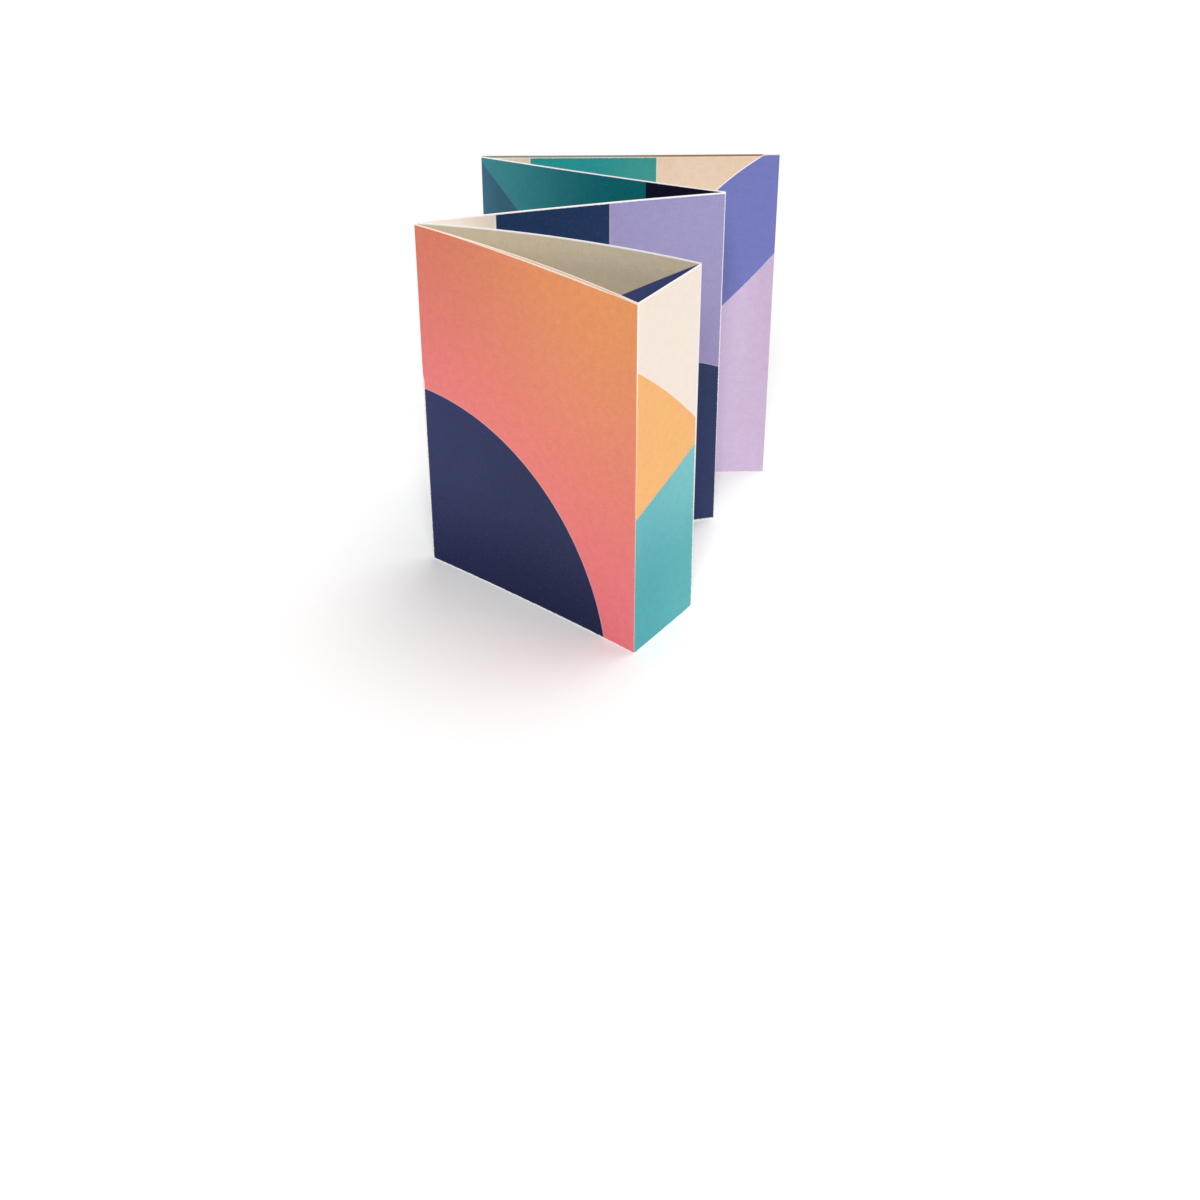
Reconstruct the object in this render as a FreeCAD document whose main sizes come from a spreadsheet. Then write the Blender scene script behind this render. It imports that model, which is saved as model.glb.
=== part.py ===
import FreeCAD, Part
import math
import os
import Sketcher

# A folded leaflet of stiff card, standing on its lower edge.
#
# It is one strip of card with six panels and five folds. Seen from above and followed from its
# free edge, the strip is: the cover, the spine and the inner panel, which close a triangle just
# behind the cover's free edge, and then the front, middle and rear panels, in a zigzag.
# Every fold is a small arc. Four of the panels are a little bowed, more at the head of the
# leaflet than at its foot, where it meets the table.
#
# Lengths are in millimetres and angles in degrees. +Z is up, the rear panel lies along X, and
# the cover faces -Y. The origin is at the middle of the leaflet's box, at the foot.

SIZES = [
    ("leaflet_height", 148.0, "height of the card"),
    ("card_thickness", 0.5, "thickness of the card"),
    ("fold_radius", 0.15, "radius on the hollow side of a fold"),
    ("cover_width", 107.0, "cover, from its free edge to its fold"),
    ("spine_width", 40.0, "spine, between its two folds"),
    ("inner_width", 113.0, "inner panel, between its two folds"),
    ("front_width", 123.0, "front panel of the zigzag, between its two folds"),
    ("middle_width", 106.0, "middle panel of the zigzag, between its two folds"),
    ("rear_width", 123.0, "rear panel, from its fold to its free edge"),
    ("cover_setback", 2.0, "how far the cover stops short of the fold that it closes on"),
    ("closing_opening", 33.0, "angle between the inner and front panels"),
    ("front_opening", 35.0, "angle between the front and middle panels"),
    ("rear_opening", 22.0, "angle between the middle and rear panels"),
    ("cover_bow_foot", 1.0, "bow of the cover at the foot"),
    ("cover_bow_head", 3.2, "bow of the cover at the head"),
    ("inner_bow_foot", 1.5, "bow of the inner panel at the foot"),
    ("inner_bow_head", 4.8, "bow of the inner panel at the head"),
    ("front_bow_foot", 0.6, "bow of the front panel at the foot"),
    ("front_bow_head", 1.3, "bow of the front panel at the head"),
    ("middle_bow_foot", 0.5, "bow of the middle panel at the foot"),
    ("middle_bow_head", 1.0, "bow of the middle panel at the head"),
]

PANELS = ["cover", "spine", "inner", "front", "middle", "rear"]

# What the card does at each fold, going along the strip: the inside face is on the hollow side
# of a left turn and on the round side of a right turn.
LEFT, RIGHT = 1, -1
FOLDS = [
    ("cover_fold", LEFT),
    ("spine_fold", LEFT),
    ("closing_fold", RIGHT),
    ("front_fold", LEFT),
    ("rear_fold", RIGHT),
]

# The side to which each bowed panel swells, going along the strip. The others are flat.
SWELLS = {"cover": LEFT, "inner": RIGHT, "front": LEFT, "middle": LEFT}

# The folds whose angle is set. The first two follow from the three sides of the triangle.
OPENINGS = {"closing_fold": "closing_opening", "front_fold": "front_opening",
            "rear_fold": "rear_opening"}

START, END = 1, 2          # the end points of a line or an arc in a sketch
SKETCH_ORIGIN = (-1, 1)    # the origin, as a point that a constraint can name
UP = FreeCAD.Vector(0, 0, 1)
HALF_TURN = 180.0          # what a sharp fold turns the strip by when it is closed flat


def make_sheet(doc):
    """The driving dimensions, one to a row: name, number and meaning."""
    sheet = doc.addObject("Spreadsheet::Sheet", "sizes")
    for row, (name, number, meaning) in enumerate(SIZES, start=1):
        sheet.set(f"A{row}", name)
        sheet.set(f"B{row}", str(number))
        sheet.set(f"C{row}", meaning)
        sheet.setAlias(f"B{row}", name)
    doc.recompute()
    return sheet


def size(name):
    return float(sheet.get(name))


def direction(degrees):
    angle = math.radians(degrees)
    return FreeCAD.Vector(math.cos(angle), math.sin(angle), 0)


def corner_angle(side_a, side_b, opposite):
    """The angle between two sides of a triangle, in degrees, from its three lengths."""
    cosine = (side_a**2 + side_b**2 - opposite**2) / (2 * side_a * side_b)
    return math.degrees(math.acos(cosine))


def corners():
    """The strip's corners, as if its folds were sharp: free edge, five folds, free edge."""
    closed_side = size("cover_width") + size("cover_setback")
    spine, inner = size("spine_width"), size("inner_width")
    rear_way = 0.0
    middle_way = rear_way + HALF_TURN - size("rear_opening")
    front_way = middle_way - HALF_TURN + size("front_opening")
    inner_way = front_way + HALF_TURN - size("closing_opening")
    cover_way = inner_way - HALF_TURN - corner_angle(closed_side, inner, spine)
    spine_way = cover_way + HALF_TURN - corner_angle(closed_side, spine, inner)
    ways = [cover_way, spine_way, inner_way, front_way, middle_way, rear_way]
    points = [FreeCAD.Vector(0, 0, 0)]
    for panel, way in zip(PANELS, ways):
        points.append(points[-1] + direction(way) * size(panel + "_width"))
    return points


def fold_radius(turn):
    """The radius of a fold on the card's inside face."""
    return size("fold_radius") + (size("card_thickness") if turn == RIGHT else 0)


def arc_between(start, end, circle, turn):
    """A circle's arc from start to end, with its end points in the order of travel."""
    first, last = circle.parameter(start), circle.parameter(end)
    if turn == LEFT:
        return Part.ArcOfCircle(circle, first, last), (START, END)
    return Part.ArcOfCircle(circle, last, first), (END, START)


def panel_course(panel, level, start, end):
    """The whole line or circle that a panel runs along, through its two corners."""
    if panel not in SWELLS:
        return Part.Line(start, end)
    chord = end - start
    bow = size(f"{panel}_bow_{level}")
    radius = (chord.Length**2 / 4 + bow**2) / (2 * bow)
    swell = UP.cross(chord).normalize() * SWELLS[panel]
    return Part.Circle((start + end) / 2 - swell * (radius - bow), UP, radius)


def moved_left(panel, course, distance):
    """A panel's course, moved to the left of the strip by a distance, or to the right if under 0."""
    if panel in SWELLS:
        return Part.Circle(course.Center, UP, course.Radius + distance * SWELLS[panel])
    aside = UP.cross(course.Direction) * distance
    return Part.Line(course.Location + aside, course.Location + aside + course.Direction)


def fold_circle(number, corner, courses):
    """The circle that a fold bends round: it touches both panels, beside their corner."""
    fold, turn = FOLDS[number]
    radius = fold_radius(turn)
    before = moved_left(PANELS[number], courses[number], radius * turn)
    after = moved_left(PANELS[number + 1], courses[number + 1], radius * turn)
    centres = [point.toShape().Point for point in before.intersectCC(after)]
    return Part.Circle(min(centres, key=corner.distanceToPoint), UP, radius)


def panel_ends(points, courses, circles):
    """Where each panel's own line starts and stops: at a free edge, or where a fold touches it."""
    touches = [[course.value(course.parameter(circle.Center)) for course in pair]
               for circle, pair in zip(circles, zip(courses, courses[1:]))]
    starts = [points[0]] + [after for before, after in touches]
    stops = [before for before, after in touches] + [points[-1]]
    return list(zip(starts, stops))


def bind(sketch, name, expression, *constraint):
    """Adds a named dimension to the sketch and ties it to the sheet."""
    index = sketch.addConstraint(Sketcher.Constraint(*constraint))
    sketch.renameConstraint(index, name)
    sketch.setExpression("Constraints." + name, expression)


def add_skeleton(sketch, points):
    """Construction lines from corner to corner, which hold the widths and the openings."""
    lines = [sketch.addGeometry(Part.LineSegment(a, b), True) for a, b in zip(points, points[1:])]
    for line, following in zip(lines, lines[1:]):
        sketch.addConstraint(Sketcher.Constraint("Coincident", line, END, following, START))
    for panel, line, start, end in zip(PANELS, lines, points, points[1:]):
        name = panel + "_width"
        bind(sketch, name, f"sizes.{name}", "Distance", line, (end - start).Length)
    for (fold, turn), line, following in zip(FOLDS, lines, lines[1:]):
        if fold in OPENINGS:
            name = OPENINGS[fold]
            angle = math.radians(size(name))
            sides = (line, END, following, START)
            if turn == LEFT:
                sides = (following, START, line, END)
            bind(sketch, name, f"sizes.{name} * 1 deg", "Angle", *sides, angle)
    close_triangle(sketch, points, lines)
    sketch.addConstraint(Sketcher.Constraint("Horizontal", lines[-1]))
    sketch.addConstraint(Sketcher.Constraint("Coincident", lines[0], START, *SKETCH_ORIGIN))
    return lines


def close_triangle(sketch, points, lines):
    """Puts the closing fold's corner in line with the cover, past its free edge."""
    cover, front = lines[PANELS.index("cover")], lines[PANELS.index("front")]
    free_edge, cover_end = points[0], points[1]
    setback = size("cover_setback")
    outward = (free_edge - cover_end).normalize() * setback
    rest = sketch.addGeometry(Part.LineSegment(free_edge, free_edge + outward), True)
    sketch.addConstraint(Sketcher.Constraint("Coincident", rest, START, cover, START))
    sketch.addConstraint(Sketcher.Constraint("Coincident", rest, END, front, START))
    sketch.addConstraint(Sketcher.Constraint("Parallel", rest, cover))
    bind(sketch, "cover_setback", "sizes.cover_setback", "Distance", rest, setback)


def add_panels(sketch, level, lines, courses, ends):
    """The panels' own lines, which lie on the courses through the corners of the skeleton."""
    panels = []
    for number, (panel, course, (start, end)) in enumerate(zip(PANELS, courses, ends)):
        if panel in SWELLS:
            curve, order = arc_between(start, end, course, -SWELLS[panel])
        else:
            curve, order = Part.LineSegment(start, end), (START, END)
        added = sketch.addGeometry(curve, False)
        panels.append((added, order))
        for point, is_free_edge in ((START, number == 0), (END, panel == PANELS[-1])):
            if is_free_edge:
                constraint = ("Coincident", added, order[point - START], lines[number], point)
            else:
                constraint = ("PointOnObject", lines[number], point, added)
            sketch.addConstraint(Sketcher.Constraint(*constraint))
        if panel in SWELLS:
            width, bow = f"sizes.{panel}_width", f"sizes.{panel}_bow_{level}"
            radius = f"({width}^2 / 4 + {bow}^2) / (2 * {bow})"
            bind(sketch, panel + "_curve", radius, "Radius", added, course.Radius)
    return panels


def add_folds(sketch, circles, panels, ends):
    """The folds' arcs, each tangent to the panels on its two sides."""
    for number, ((fold, turn), circle) in enumerate(zip(FOLDS, circles)):
        curve, order = arc_between(ends[number][1], ends[number + 1][0], circle, turn)
        added = sketch.addGeometry(curve, False)
        before, after = panels[number], panels[number + 1]
        sketch.addConstraint(Sketcher.Constraint("Tangent", before[0], before[1][1], added, order[0]))
        sketch.addConstraint(Sketcher.Constraint("Tangent", added, order[1], after[0], after[1][0]))
        expression = "sizes.fold_radius" + (" + sizes.card_thickness" if turn == RIGHT else "")
        bind(sketch, fold + "_radius", expression, "Radius", added, circle.Radius)


def make_fold_line(doc, level):
    """The line of the card's inside face, seen from above, at the foot or at the head."""
    sketch = doc.addObject("Sketcher::SketchObject", "fold_line_" + level)
    points = corners()
    courses = [panel_course(panel, level, start, end)
               for panel, start, end in zip(PANELS, points, points[1:])]
    circles = [fold_circle(number, corner, courses) for number, corner in enumerate(points[1:-1])]
    ends = panel_ends(points, courses, circles)
    lines = add_skeleton(sketch, points)
    panels = add_panels(sketch, level, lines, courses, ends)
    add_folds(sketch, circles, panels, ends)
    if level == "head":
        sketch.setExpression("Placement.Base.z", "sizes.leaflet_height")
    return sketch


def make_section(doc, level):
    """The card's section: the fold line, thickened to the outside face."""
    section = doc.addObject("Part::Offset2D", "section_" + level)
    section.Source = make_fold_line(doc, level)
    section.Mode = "Skin"
    section.Fill = True
    section.setExpression("Value", "-sizes.card_thickness")
    return section


def make_leaflet(doc):
    """The card itself, from its section at the foot to its section at the head."""
    leaflet = doc.addObject("Part::Loft", "leaflet")
    leaflet.Sections = [make_section(doc, "foot"), make_section(doc, "head")]
    leaflet.Solid = True
    leaflet.Ruled = True
    doc.recompute()
    middle = leaflet.Shape.BoundBox.Center
    leaflet.Placement.Base = FreeCAD.Vector(-middle.x, -middle.y, 0)
    doc.recompute()
    return leaflet


def check(doc, parts):
    """Stops if any object failed, or if a piece isn't one valid solid."""
    for item in doc.Objects:
        if "Invalid" in item.State or "Error" in item.State:
            raise RuntimeError(f"{item.Label} failed: {item.State}")
    for part in parts:
        shape = part.Shape
        if shape.isNull() or not shape.isValid() or len(shape.Solids) != 1:
            raise RuntimeError(f"{part.Label} isn't one valid solid")


doc = FreeCAD.newDocument("folded_leaflet")
sheet = make_sheet(doc)
leaflet = make_leaflet(doc)
leaflet.Label = "leaflet"
check(doc, [leaflet])

os.makedirs("parts", exist_ok=True)
leaflet.Shape.exportStep(f"parts/{leaflet.Label}.step")

box = leaflet.Shape.BoundBox
print(f"leaflet {box.XLength:.2f} x {box.YLength:.2f} x {box.ZLength:.2f} mm, "
      f"volume {leaflet.Shape.Volume / 1000:.2f} cm3, centre {leaflet.Shape.CenterOfMass}")
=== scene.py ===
import math
from collections import namedtuple
import bpy
import numpy as np
from mathutils import Euler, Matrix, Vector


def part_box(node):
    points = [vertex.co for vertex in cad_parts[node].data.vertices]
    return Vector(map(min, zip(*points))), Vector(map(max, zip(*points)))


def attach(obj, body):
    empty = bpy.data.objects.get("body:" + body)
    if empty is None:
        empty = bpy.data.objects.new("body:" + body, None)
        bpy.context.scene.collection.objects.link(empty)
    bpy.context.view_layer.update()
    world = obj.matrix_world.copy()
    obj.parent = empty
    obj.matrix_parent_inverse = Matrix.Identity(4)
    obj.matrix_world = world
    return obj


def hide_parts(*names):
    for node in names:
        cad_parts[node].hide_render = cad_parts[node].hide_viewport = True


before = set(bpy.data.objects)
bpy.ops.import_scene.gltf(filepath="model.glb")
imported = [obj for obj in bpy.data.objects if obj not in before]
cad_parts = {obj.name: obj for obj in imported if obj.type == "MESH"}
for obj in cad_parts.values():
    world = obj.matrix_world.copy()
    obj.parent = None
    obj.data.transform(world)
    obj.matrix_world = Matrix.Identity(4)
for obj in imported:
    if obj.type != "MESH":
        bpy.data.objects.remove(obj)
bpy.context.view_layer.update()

# A folded leaflet of printed card, standing on its lower edge. It is one strip with six panels
# and five folds, and it has the same sizes as the solid that it stands for. Going along the strip
# from its free edge, the inside face is on the left and the outside face is on the right.
#
# Lengths along the card are in millimetres and angles in degrees, as on a drawing. MM turns them
# into the scene's metres.

MM = 0.001
LEFT, RIGHT = 1, -1
INSIDE, OUTSIDE = 0, 1     # the faces of the card
FOOT, HEAD = 0, 1          # the levels that a panel's bow is given at

# A panel's name, its width, and its bow at the foot and at the head. A bow over 0 is to the left.
Panel = namedtuple("Panel", "name width bows")
PANELS = [
    Panel("cover", 107.0, (1.0, 3.2)),
    Panel("spine", 40.0, (0.0, 0.0)),
    Panel("inner", 113.0, (-1.5, -4.8)),
    Panel("front", 123.0, (0.6, 1.3)),
    Panel("middle", 106.0, (0.5, 1.0)),
    Panel("rear", 123.0, (0.0, 0.0)),
]
NAMES = [panel.name for panel in PANELS]
WIDTHS = {panel.name: panel.width for panel in PANELS}
TURNS = [LEFT, LEFT, RIGHT, LEFT, RIGHT]    # what the strip does at each fold

THICKNESS = 0.5
FOLD_RADIUS = 0.15         # on the hollow side of a fold
COVER_SETBACK = 2.0        # how far the cover stops short of the fold that it closes on
CLOSING_OPENING = 33.0     # between the inner and front panels
FRONT_OPENING = 35.0       # between the front and middle panels
REAR_OPENING = 22.0        # between the middle and rear panels

CRUSH = 0.1                # how far each face is pressed in along a cut edge
CRUSH_BAND = 0.15          # and over what width
RIPPLE = 0.12              # half of how far a panel waves out, which is all to its right
QUICK_SHARE = 0.3          # the share of the ripple that is a quick wave, over a slow one
SHARP_ANGLE = 40.0         # faces that meet more sharply than this have a hard edge between them

PANEL_STEPS = 44           # columns of faces in a panel
FOLD_STEPS = 4             # columns of faces in half a fold
ROW_STEPS = 52             # rows of faces from the foot to the head

low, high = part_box("leaflet")
HEIGHT = (high.z - low.z) / MM


# The strip, seen from above

def unit(angle):
    """The direction at that angle from +X."""
    return np.array([math.cos(angle), math.sin(angle)])


def left_of(way):
    """A direction turned a quarter to the left."""
    return np.array([-way[1], way[0]])


def corner_angle(side_a, side_b, opposite):
    """The angle between two sides of a triangle, in radians, from its three lengths."""
    return math.acos((side_a**2 + side_b**2 - opposite**2) / (2 * side_a * side_b))


def panel_ways():
    """The direction of each panel. The rear panel lies along X."""
    closed_side, spine, inner = WIDTHS["cover"] + COVER_SETBACK, WIDTHS["spine"], WIDTHS["inner"]
    rear_way = 0.0
    middle_way = rear_way + math.pi - math.radians(REAR_OPENING)
    front_way = middle_way - math.pi + math.radians(FRONT_OPENING)
    inner_way = front_way + math.pi - math.radians(CLOSING_OPENING)
    cover_way = inner_way - math.pi - corner_angle(closed_side, inner, spine)
    spine_way = cover_way + math.pi - corner_angle(closed_side, spine, inner)
    return [cover_way, spine_way, inner_way, front_way, middle_way, rear_way]


WAYS = panel_ways()

# The strip's corners, where the panels would meet if their folds were sharp.
STRETCHES = [panel.width * unit(way) for panel, way in zip(PANELS, WAYS)]
CORNERS = np.cumsum([np.zeros(2)] + STRETCHES, axis=0)


def panel_line(width, bow, way, places):
    """Points and directions along a panel, from its start corner: straight, or an arc."""
    along = places - width / 2
    if bow == 0:
        aside, lean = np.zeros(len(places)), np.zeros(len(places))
    else:
        radius = (width**2 / 4 + bow**2) / (2 * abs(bow))
        aside = math.copysign(1, bow) * (np.sqrt(radius**2 - along**2) - radius + abs(bow))
        lean = -math.copysign(1, bow) * np.arcsin(along / radius)
    points = np.outer(places, unit(way)) + np.outer(aside, left_of(unit(way)))
    return points, way + lean


def fold_radius(turn, side):
    """A fold's radius on one face of the card: larger by the thickness where it is round."""
    hollow = (turn == LEFT) == (side == INSIDE)
    return FOLD_RADIUS if hollow else FOLD_RADIUS + THICKNESS


def fold_turns(level):
    """How far each fold turns, in radians, from one panel's end to the next one's start."""
    leans = [2 * math.atan(2 * panel.bows[level] / panel.width) for panel in PANELS]
    ends = [way - lean for way, lean in zip(WAYS, leans)]
    starts = [way + lean for way, lean in zip(WAYS, leans)]
    full = 2 * math.pi
    return [(start - end + math.pi) % full - math.pi for end, start in zip(ends, starts[1:])]


def trims(level):
    """What the folds take off the start and the end of each panel."""
    cuts = [fold_radius(turn, INSIDE) * math.tan(abs(angle) / 2)
            for turn, angle in zip(TURNS, fold_turns(level))]
    return list(zip([0.0] + cuts, cuts + [0.0]))


def spaced(start, end, steps):
    """Places from start to end, with two close ones at each end, where the light turns."""
    near = [0.0, CRUSH_BAND, 2 * CRUSH_BAND]
    inner = np.linspace(start, end, steps - len(near))[1:-1]
    return np.array([start + x for x in near] + list(inner) + [end - x for x in reversed(near)])


def panel_columns(number, level):
    """Points and directions of a panel's columns, from the middle of one fold to the next."""
    panel = PANELS[number]
    start_trim, end_trim = trims(level)[number]
    places = spaced(start_trim, panel.width - end_trim, PANEL_STEPS)
    points, ways = panel_line(panel.width, panel.bows[level], WAYS[number], places)
    points = points + CORNERS[number]
    if number > 0:
        before = half_fold(points[0], ways[0], number - 1, level, -1)
        points, ways = np.vstack([before[0], points]), np.append(before[1], ways)
    if number < len(TURNS):
        after = half_fold(points[-1], ways[-1], number, level, 1)
        points, ways = np.vstack([points, after[0]]), np.append(ways, after[1])
    return points, ways


def half_fold(start, way, fold, level, direction):
    """The columns of half a fold: going on from a panel's end, or back from a panel's start."""
    turn, radius = TURNS[fold], fold_radius(TURNS[fold], INSIDE)
    centre = start + left_of(unit(way)) * radius * turn
    shares = np.arange(1, FOLD_STEPS + 1) / FOLD_STEPS
    ways = way + direction * shares * fold_turns(level)[fold] / 2
    points = np.array([centre - left_of(unit(angle)) * radius * turn for angle in ways])
    return (points, ways) if direction > 0 else (points[::-1], ways[::-1])


def panel_places(number, side):
    """Where a panel's columns are along it on one face of the card, from its start corner."""
    start_trim, end_trim = trims(FOOT)[number]
    places = spaced(start_trim, PANELS[number].width - end_trim, PANEL_STEPS)
    shares = np.arange(1, FOLD_STEPS + 1) / FOLD_STEPS
    if number > 0:
        places = np.append(places[0] - shares[::-1] * half_arc(number - 1, side), places)
    if number < len(TURNS):
        places = np.append(places, places[-1] + shares * half_arc(number, side))
    return places


def half_arc(fold, side):
    """How long half of a fold is on one face of the card."""
    return fold_radius(TURNS[fold], side) * abs(fold_turns(FOOT)[fold]) / 2


# The card, as a mesh

def ripple(number, places, heights):
    """A panel's wave to its right, which dies away at its folds and free edges.

    The waves are written in turns: so many across a panel and up it, and a start of their own on
    each panel.
    """
    x, z = np.meshgrid(places / PANELS[number].width, heights / HEIGHT)
    hold = np.sin(np.pi * np.clip(x, 0, 1))
    slow = np.sin(2 * np.pi * (0.9 * z + 0.37 * number) + 1.5 * x)
    quick = np.sin(2 * np.pi * (1.6 * x + 1.3 * z + 0.21 * number))
    return RIPPLE * hold * ((1 - QUICK_SHARE) * slow + QUICK_SHARE * quick - 1)


def card_faces():
    """Both faces of the card as grids of points, and the first column of each panel.

    The card's middle is half its thickness to the right of the strip's line. Neighbours share the
    column in the middle of their fold.
    """
    heights = spaced(0.0, HEIGHT, ROW_STEPS)
    share = (heights / HEIGHT)[:, None, None]
    middles, normals, firsts = [], [], []
    for number in range(len(PANELS)):
        foot, head = panel_columns(number, FOOT), panel_columns(number, HEAD)
        points = foot[0] * (1 - share) + head[0] * share
        ways = foot[1] * (1 - share[:, :, 0]) + head[1] * share[:, :, 0]
        normal = np.stack([-np.sin(ways), np.cos(ways)], -1)
        wave = ripple(number, panel_places(number, INSIDE), heights)
        points = points + normal * (wave[:, :, None] - THICKNESS / 2)
        shared = 0 if number == 0 else 1
        firsts.append(sum(m.shape[1] for m in middles) - shared)
        middles.append(points[:, shared:])
        normals.append(normal[:, shared:])
    middle, normal = np.concatenate(middles, 1), np.concatenate(normals, 1)
    half = np.full(middle.shape[:2] + (1,), THICKNESS / 2)
    half[[0, -1]] -= CRUSH
    half[1:-1, [0, -1]] -= CRUSH
    height = np.broadcast_to(heights[:, None, None], half.shape)
    sides = [np.concatenate([middle + normal * half * way, height], -1) for way in (LEFT, RIGHT)]
    return sides, firsts


def quads(rows, columns, flip):
    """The corners of a grid's faces, as (row, column) pairs, turned to face outwards."""
    row, column = np.meshgrid(np.arange(rows - 1), np.arange(columns - 1), indexing="ij")
    row, column = row.ravel(), column.ravel()
    ring = [(row, column), (row, column + 1), (row + 1, column + 1), (row + 1, column)]
    return ring[::-1] if flip else ring


class CardMesh:
    """The card's faces as they are gathered: corners, places on the print, and materials."""

    def __init__(self):
        self.corners, self.places, self.sheet, self.slots = [], [], [], []

    def add(self, corners, places, sheet, slot):
        """Adds faces, each of whose four corners has a place on the print and on the layout."""
        self.corners.append(np.stack(corners, -1))
        self.places.append(np.stack(places, 1))
        self.sheet.append(np.stack(sheet, 1))
        self.slots.append(np.full(len(self.corners[-1]), slot))


# All twelve printed faces laid out flat, four to a row, each with a margin for the cut edge.
LAYOUT_COLUMNS, LAYOUT_ROWS = 4, 3
LAYOUT_MARGIN = 2.0
CUT_BAND = 1.0    # what the card's cut edge takes up on the layout, beside the outside face


def layout(number, side, places, heights, start):
    """A panel's place on the flat layout, from 0 to 1."""
    cell = number + side * len(PANELS)
    cell_width = max(WIDTHS.values()) + 2 * LAYOUT_MARGIN
    cell_height = HEIGHT + 2 * LAYOUT_MARGIN
    scale = max(LAYOUT_COLUMNS * cell_width, LAYOUT_ROWS * cell_height)
    across = (cell % LAYOUT_COLUMNS) * cell_width + LAYOUT_MARGIN + places - start
    up = (cell // LAYOUT_COLUMNS) * cell_height + LAYOUT_MARGIN + heights
    return np.stack(np.broadcast_arrays(across / scale, up / scale), -1)


def add_printed_face(mesh, number, side, first, index, heights):
    """One panel on one face of the card."""
    places = panel_places(number, side)
    ring = quads(len(heights), len(places), flip=side == INSIDE)
    on_print = [np.stack([places[column], heights[row]], -1) for row, column in ring]
    sheet = [layout(number, side, places[column], heights[row], places[0]) for row, column in ring]
    corners = [index[side][row, first + column] for row, column in ring]
    mesh.add(corners, on_print, sheet, number + side * len(PANELS))


def add_cut_edge(mesh, number, along_out, along_in, places, heights, beyond):
    """A strip of the bare cut edge, from the outside face to the inside one.

    Beyond is the way in which it goes on from the rim of the outside face's print.
    """
    out_a, out_b, in_a, in_b = along_out[:-1], along_out[1:], along_in[:-1], along_in[1:]
    start = panel_places(number, OUTSIDE)[0]
    across, up = np.broadcast_arrays(places, heights)
    rim = np.stack([across, up], -1)
    past = rim + np.array(beyond) * CUT_BAND
    places_of = [rim[:-1], rim[1:], past[1:], past[:-1]]
    sheet = [layout(number, OUTSIDE, p[:, 0], p[:, 1], start) for p in places_of]
    mesh.add([out_a, out_b, in_b, in_a], places_of, sheet, number + 2 * len(PANELS))


def add_cut_edges(mesh, firsts, index, heights):
    """The card's bare edge along the foot, the head and the two free ends."""
    inside, outside = index
    for number in range(len(PANELS)):
        places = panel_places(number, OUTSIDE)
        span = slice(firsts[number], firsts[number] + len(places))
        add_cut_edge(mesh, number, outside[-1, span], inside[-1, span], places, HEIGHT, (0, 1))
        span_back = slice(span.stop - 1, span.start - 1 if span.start else None, -1)
        add_cut_edge(mesh, number, outside[0, span_back], inside[0, span_back],
                     places[::-1], 0.0, (0, -1))
    last = len(PANELS) - 1
    start, end = panel_places(0, OUTSIDE)[0], panel_places(last, OUTSIDE)[-1]
    add_cut_edge(mesh, 0, outside[::-1, 0], inside[::-1, 0], start, heights[::-1], (-1, 0))
    add_cut_edge(mesh, last, outside[:, -1], inside[:, -1], end, heights, (1, 0))


def set_in_place(sides):
    """All the card's points in metres, with their middle where the solid's is."""
    points = np.concatenate([side.reshape(-1, 3) for side in sides]) * MM
    middle = (points.max(0) + points.min(0)) / 2
    points[:, :2] += np.array((low + high) / 2)[:2] - middle[:2]
    points[:, 2] += low.z
    return points


def gather_faces(sides, firsts):
    """All the card's faces: the printed ones, and the cut edge round them."""
    rows, columns = sides[0].shape[:2]
    heights = sides[0][:, 0, 2]
    index = [np.arange(rows * columns).reshape(rows, columns) + side * rows * columns
             for side in (INSIDE, OUTSIDE)]
    mesh = CardMesh()
    for number in range(len(PANELS)):
        for side in (INSIDE, OUTSIDE):
            add_printed_face(mesh, number, side, firsts[number], index, heights)
    add_cut_edges(mesh, firsts, index, heights)
    return mesh


def make_card(materials):
    """The whole card as one closed mesh, set where the solid is."""
    sides, firsts = card_faces()
    points, mesh = set_in_place(sides), gather_faces(sides, firsts)
    data = bpy.data.meshes.new("leaflet_card")
    data.from_pydata(points.tolist(), [], np.concatenate(mesh.corners).tolist())
    for name, parts in (("OFBake", mesh.sheet), ("print", mesh.places)):
        layer = data.uv_layers.new(name=name)
        layer.uv.foreach_set("vector", np.concatenate(parts).astype(np.float32).ravel())
    for material in materials:
        data.materials.append(material)
    data.polygons.foreach_set("material_index", np.concatenate(mesh.slots).astype(np.int32))
    data.polygons.foreach_set("use_smooth", [True] * len(data.polygons))
    data.set_sharp_from_angle(angle=math.radians(SHARP_ANGLE))
    data.update()
    card = bpy.data.objects.new("leaflet_card", data)
    bpy.context.scene.collection.objects.link(card)
    return card


# Nodes

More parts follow.
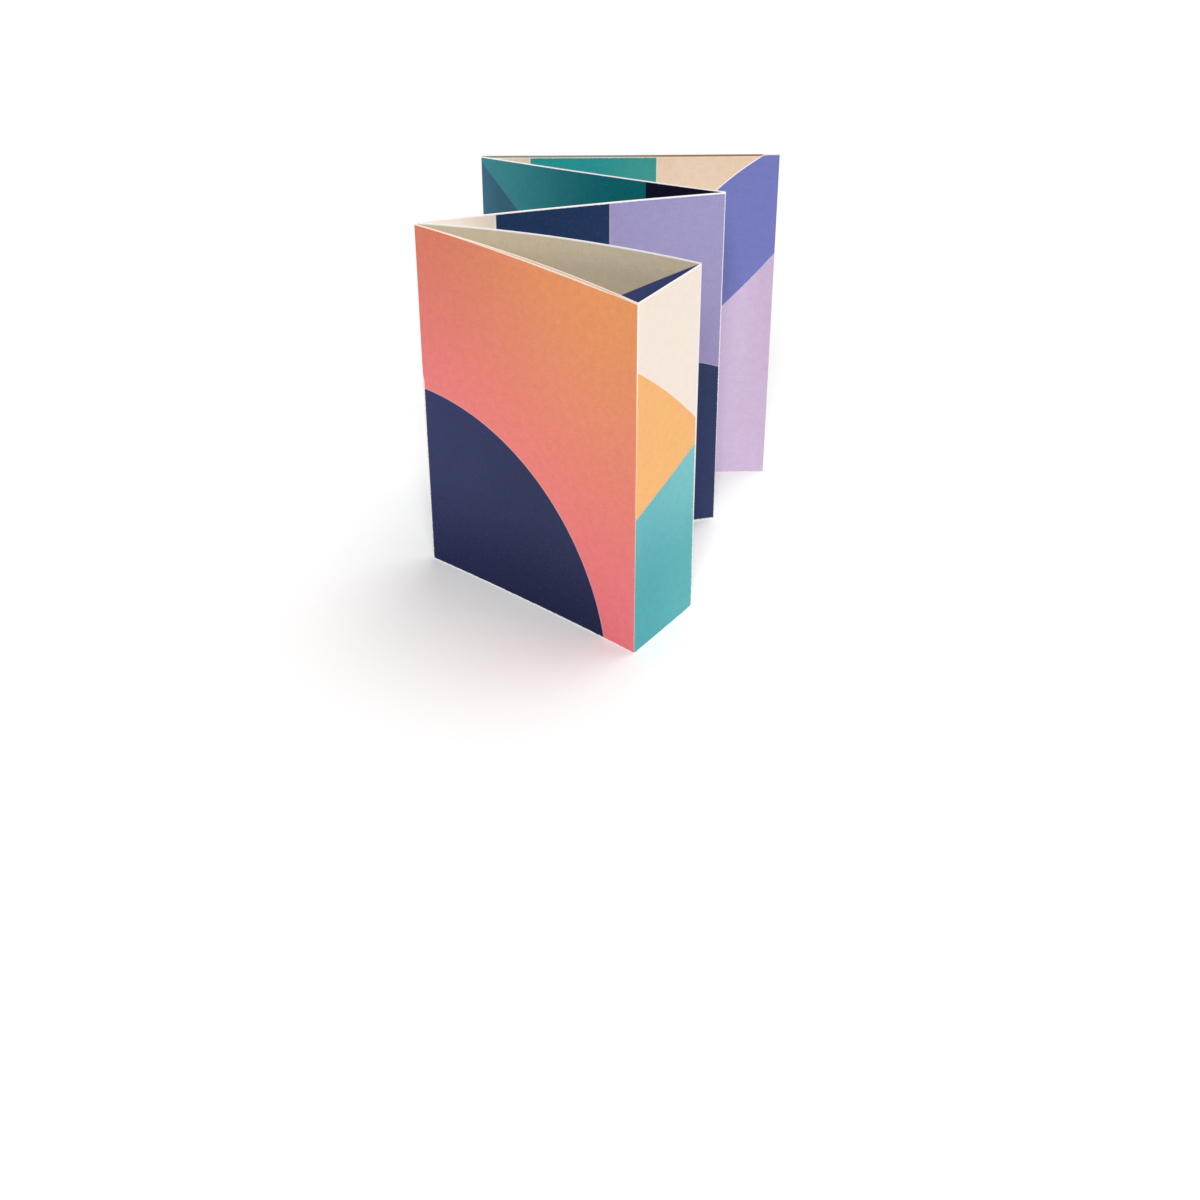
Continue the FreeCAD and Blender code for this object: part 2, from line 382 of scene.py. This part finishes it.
class Graph:
    """A node tree that is being made. Most methods add a node and give back its output."""

    def __init__(self, tree):
        self.tree = tree

    def node(self, kind, **settings):
        """A node of that kind, with those settings."""
        made = self.tree.nodes.new(kind)
        for name, value in settings.items():
            setattr(made, name, value)
        return made

    def feed(self, socket, value):
        """Links an output to a socket, or sets the socket to a plain value."""
        if isinstance(value, bpy.types.NodeSocket):
            self.tree.links.new(value, socket)
        else:
            socket.default_value = value

    def math(self, operation, *values):
        """Arithmetic on numbers."""
        made = self.node("ShaderNodeMath", operation=operation)
        for socket, value in zip(made.inputs, values):
            self.feed(socket, value)
        return made.outputs["Value"]

    def vector(self, operation, *values, output="Vector"):
        """Arithmetic on vectors."""
        made = self.node("ShaderNodeVectorMath", operation=operation)
        for socket, value in zip(made.inputs, values):
            self.feed(socket, value)
        return made.outputs[output]

    def split(self, vector):
        """X and Y. Of a place on a print, these are how far along the panel and how high it is."""
        made = self.node("ShaderNodeSeparateXYZ")
        self.feed(made.inputs["Vector"], vector)
        return made.outputs["X"], made.outputs["Y"]

    def join(self, *values):
        """A vector of those numbers."""
        made = self.node("ShaderNodeCombineXYZ")
        for socket, value in zip(made.inputs, values):
            self.feed(socket, value)
        return made.outputs["Vector"]

    def fade(self, value, start, end, low=0.0, high=1.0):
        """Goes smoothly from low to high as the value goes from start to end."""
        made = self.node("ShaderNodeMapRange", interpolation_type="SMOOTHSTEP")
        for name, number in (("Value", value), ("From Min", start), ("From Max", end),
                             ("To Min", low), ("To Max", high)):
            self.feed(made.inputs[name], number)
        return made.outputs["Result"]

    def mix(self, share, under, over, blend="MIX"):
        """Lays one colour over another. Sockets 6 and 7 of a Mix node are its colours."""
        made = self.node("ShaderNodeMix", data_type="RGBA", blend_type=blend)
        self.feed(made.inputs["Factor"], share)
        self.feed(made.inputs[6], under)
        self.feed(made.inputs[7], over)
        return made.outputs[2]

    def brightness(self, colour):
        """How bright a colour is, from 0 to 1."""
        made = self.node("ShaderNodeRGBToBW")
        self.feed(made.inputs["Color"], colour)
        return made.outputs["Val"]

    def noise(self, vector, scale, detail):
        """Noise from 0 to 1, with that many bumps to a millimetre or so."""
        made = self.node("ShaderNodeTexNoise")
        self.feed(made.inputs["Vector"], vector)
        made.inputs["Scale"].default_value = scale
        made.inputs["Detail"].default_value = detail
        return made.outputs["Fac"]

    def wander(self, vector, scale, detail, reach):
        """Noise that goes as far as the reach to both sides of 0."""
        return self.math("MULTIPLY_ADD", self.noise(vector, scale, detail), 2 * reach, -reach)

    def group(self, tree, **values):
        """A node group fed with those values. Gives back all its outputs."""
        made = self.node("ShaderNodeGroup", node_tree=tree)
        for name, value in values.items():
            self.feed(made.inputs[name], value)
        return made.outputs


def new_group(name, inputs, outputs):
    """An empty node group with those sockets, and its input and output nodes."""
    tree = bpy.data.node_groups.new(name, "ShaderNodeTree")
    for socket in inputs:
        tree.interface.new_socket(name=socket, in_out="INPUT", socket_type="NodeSocketVector")
    for socket in outputs:
        tree.interface.new_socket(name=socket, in_out="OUTPUT", socket_type="NodeSocketFloat")
    return tree, tree.nodes.new("NodeGroupInput"), tree.nodes.new("NodeGroupOutput")


def ink(colour):
    """A colour written as on screen, such as "e78a72", as the linear one that the nodes use."""
    parts = [int(colour[i:i + 2], 16) / 255 for i in (0, 2, 4)]
    return (*[p / 12.92 if p <= 0.04045 else ((p + 0.055) / 1.055)**2.4 for p in parts], 1.0)


# The inks

CARD_WHITE, CARD_CREAM, CARD_TAN = "fbf9f8", "fbe5d5", "d8b798"
# A grey and a brown of painted shade, for the line along the rear's head.
CARD_SHADE_GREY, CARD_SHADE_BROWN = "8f9383", "977751"
CUT_WHITE, CUT_CREAM = "dedad6", "e2d0c0"
# The grey and the brown of these are painted shade, for the line along the rear's head.
CUT_SHADE_GREY, CUT_SHADE_BROWN, CUT_DUSTY = "7f8577", "806346", "aaa5b0"
# Of these, the two strip creams are cream darkened as painted shade, for the front's strip.
CREAM, LESS_SHADED_STRIP_CREAM, SHADED_STRIP_CREAM, DEEP_CREAM = "feefe2", "f8eee4", "e4d8c9", "dccfbd"
ORANGE = "ffbf7b"
# Cream darkened as painted shade, for the faces inside the pocket that the cover closes: the
# darker one lower down, the lighter one near the head.
POCKET_SHADE_CREAM, LIGHTER_POCKET_SHADE_CREAM = "c6b9a2", "d9cbb1"
WEDGE_NAVY = "404c7b"
BLOCK_NAVY = "193157"
LILAC, DULL_LILAC = "9e98c5", "9a90bb"
INK_NAVY = "2d385f"
# Navy darkened to near black as painted shade.
NAVY_IN_PAINTED_SHADE = "01021c"
# The first teal is teal darkened as painted shade; the second is the lighter teal that it turns
# into.
PAINTED_SHADE_TEAL, TEAL_WASH = "01676f", "3f8c92"
BLUE_TEAL, PALE_BLUE_TEAL = "356174", "42718a"
TEAL, PALE_TEAL = "269496", "3f9894"
PEACH, WARM_PEACH = "e9d1b8", "e2c8ac"
PERIWINKLE = "7178b9"
# The first lilac is painted lighter, as painted light against the shade from the panels in front;
# the second is the lilac itself.
LILAC_WITH_PAINTED_LIGHT, DUSTY_LILAC = "d4c0e2", "c4b0cd"

# Grounds that turn slowly from colour to colour: left and right at the foot, then higher up.
SUNSET = (("ff8494", "eb7781"), ("d2785f", "eb9c5d"))
EVENING = (("192048", "151b3f"), ("2f365e", "2a3154"))
SEA = (("55aeb4", "5eb6b8"), ("72c1c8", "7fcacd"))


# What all the faces share

CARD_GLOSS = 0.15
RAG = 0.3                 # how far the worn band's rim strays, as a share of its width
BAND_SOFTNESS = 0.12      # half of what the band's rim fades over, as a share of its width
FOOT_NARROWING = 0.72     # the share of its width that the band loses at the foot

BLOTCHES, FLECKS = 0.09, 0.12      # how far the large and the small unevenness of the ink go
SPECKS = 0.014                     # how bare the card is in a speck
SMOOTH, ROUGH = 0.56, 0.68         # the card's roughness
DARK, PALE = 0.5, 0.9              # the ink is uneven up to the one brightness, and
PALE_UNEVENNESS = 0.4              # by this share of it from the other one on
TOOTH, TOOTH_DEPTH = 0.35, 0.04    # the strength and the depth of the card's tooth


def make_worn_edges():
    """How bare the card is near the rim of a face, where folding and cutting have broken the ink.

    The worn band is narrower towards the foot.
    """
    tree, given, result = new_group(
        "worn_edges", ["Place", "Low", "High", "Low width", "High width"], ["Bare"])
    graph = Graph(tree)
    place = given.outputs["Place"]
    from_low = graph.vector("SUBTRACT", place, given.outputs["Low"])
    from_high = graph.vector("SUBTRACT", given.outputs["High"], place)
    near = graph.split(graph.vector("DIVIDE", from_low, given.outputs["Low width"]))
    far = graph.split(graph.vector("DIVIDE", from_high, given.outputs["High width"]))
    nearest = graph.math("MINIMUM", graph.math("MINIMUM", *near), graph.math("MINIMUM", *far))
    ragged = graph.math("ADD", nearest, graph.wander(place, scale=1.4, detail=4.0, reach=RAG))
    narrowing = graph.fade(graph.split(place)[1], HEIGHT, 0.0, 0.0, FOOT_NARROWING)
    narrowed = graph.math("ADD", ragged, narrowing)
    graph.feed(result.inputs["Bare"], graph.fade(narrowed, 1 + BAND_SOFTNESS, 1 - BAND_SOFTNESS))
    return tree


def make_grain():
    """Uneven ink with specks of card showing through it, and the tooth of the card under it."""
    tree, given, result = new_group(
        "card_grain", ["Place"], ["Ink", "Specks", "Roughness", "Height"])
    graph = Graph(tree)
    place = given.outputs["Place"]
    blotches = graph.wander(place, scale=0.3, detail=3.0, reach=BLOTCHES)
    flecks = graph.wander(place, scale=1.1, detail=3.0, reach=FLECKS)
    specks = graph.noise(place, scale=0.8, detail=4.0)
    fibres = graph.noise(place, scale=5.0, detail=5.0)
    uneven = graph.math("ADD", graph.math("ADD", blotches, flecks), 1.0)
    graph.feed(result.inputs["Ink"], uneven)
    graph.feed(result.inputs["Specks"], graph.fade(specks, 0.5, 0.8, 0.0, SPECKS))
    graph.feed(result.inputs["Roughness"], graph.fade(fibres, 0.3, 0.7, SMOOTH, ROUGH))
    graph.feed(result.inputs["Height"], fibres)
    return tree


WORN_EDGES = make_worn_edges()
GRAIN = make_grain()


def new_material(name, gloss):
    """A new material, its shader with that gloss, and the graph of its nodes."""
    material = bpy.data.materials.new(name)
    material.use_nodes = True
    shader = material.node_tree.nodes["Principled BSDF"]
    shader.inputs["Specular IOR Level"].default_value = gloss
    return material, shader, Graph(material.node_tree)


def place_on_print(graph):
    """Where a point of the card is on its panel, in millimetres."""
    return graph.node("ShaderNodeUVMap", uv_map="print").outputs["UV"]


def finish_face(graph, shader, place, printed, card, bare):
    """Puts the grain and the bare card over a printed colour, and feeds the shader."""
    grain = graph.group(GRAIN, Place=place)
    uneven = graph.fade(graph.brightness(printed), DARK, PALE, 1.0, PALE_UNEVENNESS)
    inked = graph.mix(uneven, printed, grain["Ink"], blend="MULTIPLY")
    colour = graph.mix(graph.math("MAXIMUM", bare, grain["Specks"]), inked, card)
    bump = graph.node("ShaderNodeBump")
    bump.inputs["Strength"].default_value = TOOTH
    bump.inputs["Distance"].default_value = TOOTH_DEPTH * MM
    graph.feed(bump.inputs["Height"], grain["Height"])
    graph.feed(shader.inputs["Base Color"], colour)
    graph.feed(shader.inputs["Roughness"], grain["Roughness"])
    graph.feed(shader.inputs["Normal"], bump.outputs["Normal"])


# Shapes of a print. Each gives how far a place is inside the shape, in millimetres.

SOFT_RIM = 0.12           # half the width over which one ink gives way to the next
HAIRLINE = 0.16           # half the width of the bare line that two inks leave between them


def in_disc(graph, place, centre, radius):
    """In a disc, whose centre may be outside the panel."""
    distance = graph.vector("DISTANCE", place, (*centre, 0.0), output="Value")
    return graph.math("SUBTRACT", radius, distance)


def right_of(graph, place, across):
    """Further along the panel than that."""
    return graph.math("SUBTRACT", graph.split(place)[0], across)


def under_line(graph, place, height, slope):
    """Under a slanting line, which meets the panel's start edge at that height."""
    x, z = graph.split(place)
    drop = graph.math("SUBTRACT", graph.math("MULTIPLY_ADD", x, slope, height), z)
    return graph.math("MULTIPLY", drop, math.cos(math.atan(slope)))


def lay(graph, under, over, inside, bare=0.0):
    """Lays one ink over another inside a shape, with a hairline of bare card along its rim."""
    laid = graph.mix(graph.fade(inside, -SOFT_RIM, SOFT_RIM), under, over)
    if bare == 0:
        return laid
    gap = graph.fade(graph.math("ABSOLUTE", inside), HAIRLINE + SOFT_RIM, HAIRLINE, 0.0, bare)
    return graph.mix(gap, laid, ink(CARD_WHITE))


def blend(graph, along, start, end, first, second):
    """One ink that turns slowly into another."""
    return graph.mix(graph.fade(along, start, end), ink(first), ink(second))


def ground(graph, place, across, up, colours):
    """An ink that turns slowly into others, over a span across the panel and a span upwards."""
    x, z = graph.split(place)
    low, high = (blend(graph, x, *across, *pair) for pair in colours)
    return graph.mix(graph.fade(z, *up), low, high)


# The prints, each on its panel, with places from the panel's start corner and the foot

def cover_print(graph, place):
    """Pink that turns to russet and orange upwards, and a navy disc at the foot."""
    sunset = ground(graph, place, (-7.0, 100.0), (-10.0, 175.0), SUNSET)
    evening = ground(graph, place, (0.0, 60.0), (0.0, 50.0), EVENING)
    return lay(graph, sunset, evening, in_disc(graph, place, (-3.7, -17.9), 97.3), bare=0.2)


def spine_print(graph, place):
    """Cream, then orange under a wide arc, then a sea green field that deepens to the foot."""
    orange = in_disc(graph, place, (-192.2, -134.0), 319.1)
    sky = lay(graph, ink(CREAM), ink(ORANGE), orange)
    sea = ground(graph, place, (8.0, 36.0), (25.0, 72.0), SEA)
    return lay(graph, sky, sea, under_line(graph, place, 60.3, 0.366))


def inner_inside_print(graph, place):
    """Cream darkened as painted shade inside the pocket, most deeply lower down, with a navy field
    that rises to the spine.
    """
    # Painted shade: the cream is darker lower down in the pocket.
    pocket_cream = blend(graph, graph.split(place)[1], 135.0, 146.0, POCKET_SHADE_CREAM, LIGHTER_POCKET_SHADE_CREAM)
    return lay(graph, pocket_cream, ink(WEDGE_NAVY), under_line(graph, place, 147.9, -0.6))


def front_print(graph, place):
    """A cream strip, a navy block, and lilac over a navy disc."""
    x, z = graph.split(place)
    # The strip's cream darkens towards the navy block as painted shade.
    strip = blend(graph, x, 14.0, 32.0, LESS_SHADED_STRIP_CREAM, SHADED_STRIP_CREAM)
    block = lay(graph, strip, ink(BLOCK_NAVY), right_of(graph, place, 31.9), bare=0.5)
    lilac = blend(graph, z, 90.0, 146.0, DULL_LILAC, LILAC)
    field = lay(graph, lilac, ink(INK_NAVY), in_disc(graph, place, (97.0, 10.0), 68.0), bare=0.2)
    return lay(graph, block, field, right_of(graph, place, 76.7), bare=0.2)


def middle_inside_print(graph, place):
    """Navy painted near black as shade, then teal that lightens along the panel, darker near its
    start as painted shade, with a blue field under a slanting line.
    """
    x, z = graph.split(place)
    # Painted shade: the teal is darker towards the fold at the panel's start.
    teal = blend(graph, x, 45.0, 110.0, PAINTED_SHADE_TEAL, TEAL_WASH)
    blue = blend(graph, x, 94.0, 106.0, BLUE_TEAL, PALE_BLUE_TEAL)
    field = lay(graph, teal, blue, under_line(graph, place, 25.0, 1.17))
    return lay(graph, ink(NAVY_IN_PAINTED_SHADE), field, right_of(graph, place, 32.5))


def rear_print(graph, place):
    """A cream strip, a teal block, and peach with a periwinkle lens over pale lilac."""
    x = graph.split(place)[0]
    teal = blend(graph, x, 45.0, 73.0, TEAL, PALE_TEAL)
    peach = blend(graph, x, 85.0, 115.0, PEACH, WARM_PEACH)
    # The lilac is painted lighter towards the panel's start, as painted light against the shade
    # there.
    lilac = blend(graph, x, 98.0, 122.0, LILAC_WITH_PAINTED_LIGHT, DUSTY_LILAC)
    block = lay(graph, ink(DEEP_CREAM), teal, right_of(graph, place, 22.1), bare=0.5)
    lens = in_disc(graph, place, (180.2, 48.2), 118.2)
    upper = lay(graph, peach, ink(PERIWINKLE), lens, bare=0.9)
    field = lay(graph, lilac, upper, in_disc(graph, place, (-150.2, 324.3), 350.1))
    return lay(graph, block, field, right_of(graph, place, 73.3), bare=0.5)


def plain(colour):
    """One colour all over."""
    def one_colour(graph, place):
        return ink(colour)
    return one_colour


# The bare card that shows round a print, and the cut edge, which goes on from it past the rim

PARTING_DEPTH = 0.4            # how far under the head the card's layers part
HEAD_SHADE_DEPTH = (0.9, 0.6)     # how far under the head the painted shade line begins, and where it is full
HEAD_SHADE_END = (114.5, 118.0)   # where along the panel it stops, at the print's lens
HEAD_SHADE_SPAN = (55.0, 85.0)      # where along the panel the painted shade line goes from grey to brown


def creamy(white, cream):
    """Creamier towards the head."""
    def colour(graph, place):
        return blend(graph, graph.split(place)[1], 0.0, HEIGHT, white, cream)
    return colour


def parted_card(graph, place):
    """Creamy towards the head, with a thin tan line where the card's layers part."""
    x, z = graph.split(place)
    card = creamy(CARD_WHITE, CARD_CREAM)(graph, place)
    from_line = graph.math("ABSOLUTE", graph.math("ADD", z, PARTING_DEPTH - HEIGHT))
    line = graph.fade(from_line, 0.4, 0.1)
    part = graph.math("MULTIPLY", graph.fade(x, 20.0, 60.0), graph.fade(x, 105.0, 92.0))
    return graph.mix(graph.math("MULTIPLY", line, part), card, ink(CARD_TAN))


def shaded_head_line(unshaded, shaded):
    """Darker along the very head, as far as the print's lens: a painted shade line.

    Both are pairs of colours, one at the panel's start and one at its end.
    """
    def colour(graph, place):
        x, z = graph.split(place)
        at_head = graph.fade(z, *[HEIGHT - depth for depth in HEAD_SHADE_DEPTH])
        share = graph.math("MULTIPLY", at_head, graph.fade(x, *HEAD_SHADE_END, 1.0, 0.0))
        under, over = (blend(graph, x, *HEAD_SHADE_SPAN, *pair) for pair in (unshaded, shaded))
        return graph.mix(share, under, over)
    return colour


CUTS = {
    "cover": creamy(CUT_WHITE, CUT_CREAM),
    # The rear's cut edge carries the painted shade line along its head.
    "rear": shaded_head_line((CUT_WHITE, CUT_DUSTY), (CUT_SHADE_GREY, CUT_SHADE_BROWN)),
}
OTHER_CUTS = plain(CUT_WHITE)


# How wide the bare card shows along a side

FOOT_GAIN = 2.3    # what makes up for the band's narrowing towards the foot


def shaded_head_width(graph, place):
    """How wide the bare card shows along the head with the painted shade line, and past it."""
    return graph.fade(graph.split(place)[0], *HEAD_SHADE_END, 1.02, 0.3)


def worn_low(graph, place):
    """How wide the bare card shows along a side that is worn in its lower half only."""
    z = graph.split(place)[1]
    lower, foot = graph.fade(z, 88.0, 76.0, 0.1, 2.4), graph.fade(z, 76.0, 0.0, 1.0, 2.4)
    return graph.math("MINIMUM", lower, foot)


def worn_high(graph, place):
    """How wide the bare card shows along a fold that is worn near the head only."""
    return graph.fade(graph.split(place)[1], 90.0, 135.0, 0.06, 0.22)


def worn_evenly(wide):
    """How wide the bare card shows where the band keeps most of its width to the foot."""
    def width(graph, place):
        return graph.fade(graph.split(place)[1], HEIGHT, 0.0, wide, FOOT_GAIN * wide)
    return width


def parted_head(graph, place):
    """How wide the bare card shows along the head where its layers have parted."""
    x = graph.split(place)[0]
    left, right = graph.fade(x, 0.0, 65.0, 0.35, 1.4), graph.fade(x, 80.0, 106.0, 1.4, 0.8)
    return graph.math("MINIMUM", left, right)


# A printed face: what is on it, the card that shows at its rim, and how wide that card shows along
# the head, the panel's start, its end and the foot. A width is a number, or a function for one.
Face = namedtuple("Face", "draw card head start end foot",
                  defaults=(plain(CARD_WHITE), 0.45, 0.45, 0.45, 1.15))
# The rear's bare card carries the painted shade line along its head.
REAR_CARD = shaded_head_line((CARD_WHITE, CARD_CREAM), (CARD_SHADE_GREY, CARD_SHADE_BROWN))
FACES = {
    ("cover", OUTSIDE): Face(cover_print, parted_card, parted_head, worn_low, worn_high),
    ("spine", OUTSIDE): Face(spine_print, head=0.6, start=worn_high, end=worn_evenly(1.25)),
    ("inner", OUTSIDE): Face(plain(CREAM)),
    ("front", OUTSIDE): Face(front_print, head=0.55, end=worn_evenly(0.6), foot=2.6),
    ("middle", OUTSIDE): Face(plain(CREAM)),
    ("rear", OUTSIDE): Face(rear_print, REAR_CARD, shaded_head_width, end=0.1),
    # The cover's inside is the cream darkened as painted shade.
    ("cover", INSIDE): Face(plain(POCKET_SHADE_CREAM)),
    ("spine", INSIDE): Face(plain(WEDGE_NAVY)),
    ("inner", INSIDE): Face(inner_inside_print, head=0.6),
    ("front", INSIDE): Face(plain(BLOCK_NAVY)),
    ("middle", INSIDE): Face(middle_inside_print, head=0.38, end=0.1),
    ("rear", INSIDE): Face(plain(CREAM)),
}


# The materials

def make_worn_band(graph, place, number, side):
    """How bare the card is, by the widths of the face's four sides."""
    face, places = FACES[NAMES[number], side], panel_places(number, side)
    start, end, head, foot = [width(graph, place) if callable(width) else width
                              for width in (face.start, face.end, face.head, face.foot)]
    return graph.group(WORN_EDGES, **{
        "Place": place, "Low": (places[0], 0.0, 0.0), "High": (places[-1], HEIGHT, 0.0),
        "Low width": graph.join(start, foot, 1.0), "High width": graph.join(end, head, 1.0)})


def make_printed(number, side):
    """The material of one panel on one face of the card."""
    name = NAMES[number]
    face = FACES[name, side]
    side_name = "outside" if side == OUTSIDE else "inside"
    material, shader, graph = new_material(f"{name}_{side_name}", CARD_GLOSS)
    place = place_on_print(graph)
    bare = make_worn_band(graph, place, number, side)["Bare"]
    finish_face(graph, shader, place, face.draw(graph, place), face.card(graph, place), bare)
    return material


def make_cut_card(name):
    """The bare edge of one panel, where the card was cut."""
    material, shader, graph = new_material(f"{name}_cut_edge", CARD_GLOSS)
    place = place_on_print(graph)
    grain = graph.group(GRAIN, Place=place)
    cut = CUTS.get(name, OTHER_CUTS)(graph, place)
    graph.feed(shader.inputs["Base Color"], graph.mix(1.0, cut, grain["Ink"], blend="MULTIPLY"))
    graph.feed(shader.inputs["Roughness"], grain["Roughness"])
    return material


# The stage

FLOOR_SIDE = 6.0    # in metres
FLOOR_SEEN, FLOOR_LIT = "f1f1f1", "e6e6e6"    # as the camera sees it, and as it lights the card
AMBIENT = 0.14    # the strength of the even light from all round

# The lamps: strength, height over the floor, bearing from +Y towards +X, and width, in degrees.
LAMPS = {
    "key": (1.8, 68.6, 49.0, 41.0),
    "fill": (2.45, 42.0, 181.5, 24.0),
}


def make_floor():
    """A pale floor, which looks white where nothing shades it."""
    half = FLOOR_SIDE / 2
    data = bpy.data.meshes.new("floor")
    corners = [(-half, -half, 0), (half, -half, 0), (half, half, 0), (-half, half, 0)]
    data.from_pydata(corners, [], [(0, 1, 2, 3)])
    floor = bpy.data.objects.new("floor", data)
    bpy.context.scene.collection.objects.link(floor)
    material, shader, graph = new_material("floor", gloss=0.0)
    shader.inputs["Roughness"].default_value = 1.0
    rays = graph.node("ShaderNodeLightPath").outputs
    seen = graph.math("MAXIMUM", rays["Is Camera Ray"], rays["Is Glossy Ray"])
    graph.feed(shader.inputs["Base Color"], graph.mix(seen, ink(FLOOR_LIT), ink(FLOOR_SEEN)))
    data.materials.append(material)


def make_world():
    """Even white light from all round, and a white background behind the floor."""
    world = bpy.data.worlds.new("studio")
    bpy.context.scene.world = world
    world.use_nodes = True
    graph = Graph(world.node_tree)
    rays = graph.node("ShaderNodeLightPath").outputs
    seen = graph.math("MAXIMUM", rays["Is Camera Ray"],
                      graph.math("MAXIMUM", rays["Is Glossy Ray"], rays["Is Transmission Ray"]))
    background = world.node_tree.nodes["Background"]
    background.inputs["Color"].default_value = (1.0, 1.0, 1.0, 1.0)
    graph.feed(background.inputs["Strength"], graph.fade(seen, 0.0, 1.0, AMBIENT, 1.0))


def make_lamp(name, strength, height, bearing, width):
    """A wide soft lamp, far away."""
    data = bpy.data.lights.new(name, "SUN")
    data.energy = strength
    data.angle = math.radians(width)
    lamp = bpy.data.objects.new(name, data)
    lamp.rotation_euler = Euler((math.radians(height - 90), 0, math.radians(-bearing)))
    bpy.context.scene.collection.objects.link(lamp)


# The camera, in metres and degrees: it looks along +Y, turned a little to the right, and down.
# Its lens and the width of its sensor are in millimetres.
CAMERA_PLACE = (-0.0133, -0.6757, 0.4338)
CAMERA_TURN, CAMERA_DOWN = 0.94, 33.99
CAMERA_LENS, CAMERA_SENSOR = 57.8, 36.0


def make_camera():
    """The camera, where the photograph was taken from."""
    data = bpy.data.cameras.new("camera")
    data.sensor_width = CAMERA_SENSOR
    data.lens = CAMERA_LENS
    camera = bpy.data.objects.new("camera", data)
    camera.location = CAMERA_PLACE
    camera.rotation_euler = Euler((math.radians(90 - CAMERA_DOWN), 0, math.radians(-CAMERA_TURN)))
    bpy.context.scene.collection.objects.link(camera)
    bpy.context.scene.camera = camera


materials = [make_printed(number, side)
             for side in (INSIDE, OUTSIDE) for number in range(len(PANELS))]
materials += [make_cut_card(name) for name in NAMES]
leaflet = make_card(materials)
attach(leaflet, "root")
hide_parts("leaflet")

make_floor()
make_world()
for lamp_name, lamp_numbers in LAMPS.items():
    make_lamp(lamp_name, *lamp_numbers)
make_camera()
bpy.context.scene.view_settings.view_transform = "Standard"
